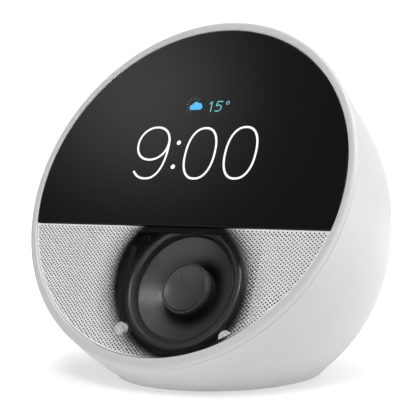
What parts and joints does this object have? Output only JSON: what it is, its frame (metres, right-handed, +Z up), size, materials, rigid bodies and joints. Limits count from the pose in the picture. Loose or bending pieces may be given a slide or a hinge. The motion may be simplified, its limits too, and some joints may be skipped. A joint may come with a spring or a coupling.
{
  "type": "smart display",
  "caption": "Table-top smart display with a tilted round face: a display lens above a cloth speaker grille, press buttons behind its top edge and a power inlet at the rear.",
  "frame": {"origin": "centre of the base outline, on the surface that the object stands on", "axes": "+Z up, -Y the way the tilted face looks, +X to the right of someone facing the object's front from -Y"},
  "size_m": [0.1116, 0.1022, 0.1108],
  "materials": {
    "housing_white": "satin moulded plastic",
    "ring_white": "satin moulded plastic",
    "button_white": "satin moulded plastic",
    "lens_black": "polished black-backed cover glass with a lit clock",
    "tape_black": "matte foam tape",
    "clear_adhesive": "clear",
    "lcd_black": "smooth",
    "backlight_white": "matte",
    "tinned_steel": "satin",
    "flex_amber": "thin polyimide film",
    "carrier_black": "fine textured",
    "screw_steel": "zinc plated",
    "grille_fabric": "woven light grey acoustic cloth",
    "frame_grey": "matte",
    "baffle_grey": "matte",
    "box_black": "matte",
    "foam_black": "matte",
    "basket_black": "satin black coating",
    "surround_rubber": "soft sheen",
    "cone_black": "satin",
    "cap_satin": "satin",
    "former_film": "polyimide",
    "coil_copper": "enamelled copper wire",
    "spider_fabric": "resin-stiffened weave",
    "plate_steel": "zinc plated",
    "magnet_grey": "ground",
    "terminal_brown": "laminate",
    "lead_black": "smooth insulation",
    "board_green": "solder mask",
    "chip_black": "moulded epoxy",
    "pad_grey": "soft",
    "spreader_aluminium": "satin",
    "switch_black": "moulded",
    "mic_metal": "plated",
    "jack_black": "moulded",
    "cover_grey": "matte",
    "foot_rubber": "matte"
  },
  "bodies": {
    "housing": {"rear_housing": "housing_white", "front_ring": "ring_white", "display_lens": "lens_black", "lens_tape": "tape_black", "optical_adhesive": "clear_adhesive", "lcd_panel": "lcd_black", "backlight_unit": "backlight_white", "display_shield": "tinned_steel", "lcd_flex": "flex_amber", "display_carrier": "carrier_black", "display_screws": "screw_steel", "grille_cloth": "grille_fabric", "grille_frame": "frame_grey", "speaker_baffle": "baffle_grey", "speaker_box": "box_black", "box_screws": "screw_steel", "speaker_gasket": "foam_black", "speaker_frame": "basket_black", "speaker_screws": "screw_steel", "surround": "surround_rubber", "spider": "spider_fabric", "top_plate": "plate_steel", "magnet": "magnet_grey", "yoke": "plate_steel", "terminal_strip": "terminal_brown", "speaker_cable": "lead_black", "cable_grommet": "foam_black", "main_board": "board_green", "processor": "chip_black", "shield_can": "tinned_steel", "thermal_pad": "pad_grey", "heat_spreader": "spreader_aluminium", "wireless_module": "tinned_steel", "board_screws": "screw_steel", "antenna_left": "flex_amber", "antenna_right": "flex_amber", "button_board": "board_green", "tact_switches": "switch_black", "microphones": "mic_metal", "mic_gasket_left": "foam_black", "mic_gasket_right": "foam_black", "button_board_screws": "screw_steel", "button_flex": "flex_amber", "power_board": "board_green", "dc_jack": "jack_black", "power_screws": "screw_steel", "power_cable": "lead_black", "base_cover": "cover_grey", "base_screws": "screw_steel", "rubber_foot": "foot_rubber"},
    "cone_assembly": {"cone": "cone_black", "dust_cap": "cap_satin", "coil_former": "former_film", "voice_coil": "coil_copper"},
    "volume_down": {"volume_down": "button_white"},
    "mic_button": {"mic_button": "button_white"},
    "volume_up": {"volume_up": "button_white"}
  },
  "joints": [
    {"name": "volume_down_press", "type": "slide", "parent": "housing", "child": "volume_down", "axis": [0, -0.5519, -0.8339], "range_m": [0, 0.0006], "stiffness_N_per_m": 1500},
    {"name": "mic_button_press", "type": "slide", "parent": "housing", "child": "mic_button", "axis": [0, -0.5519, -0.8339], "range_m": [0, 0.0006], "stiffness_N_per_m": 1500},
    {"name": "volume_up_press", "type": "slide", "parent": "housing", "child": "volume_up", "axis": [0, -0.5519, -0.8339], "range_m": [0, 0.0006], "stiffness_N_per_m": 1500},
    {"name": "cone_stroke", "type": "slide", "parent": "housing", "child": "cone_assembly", "axis": [0, -0.9085, 0.4179], "range_m": [-0.002, 0.002], "stiffness_N_per_m": 2200, "deforming": ["surround", "spider"]}
  ]
}
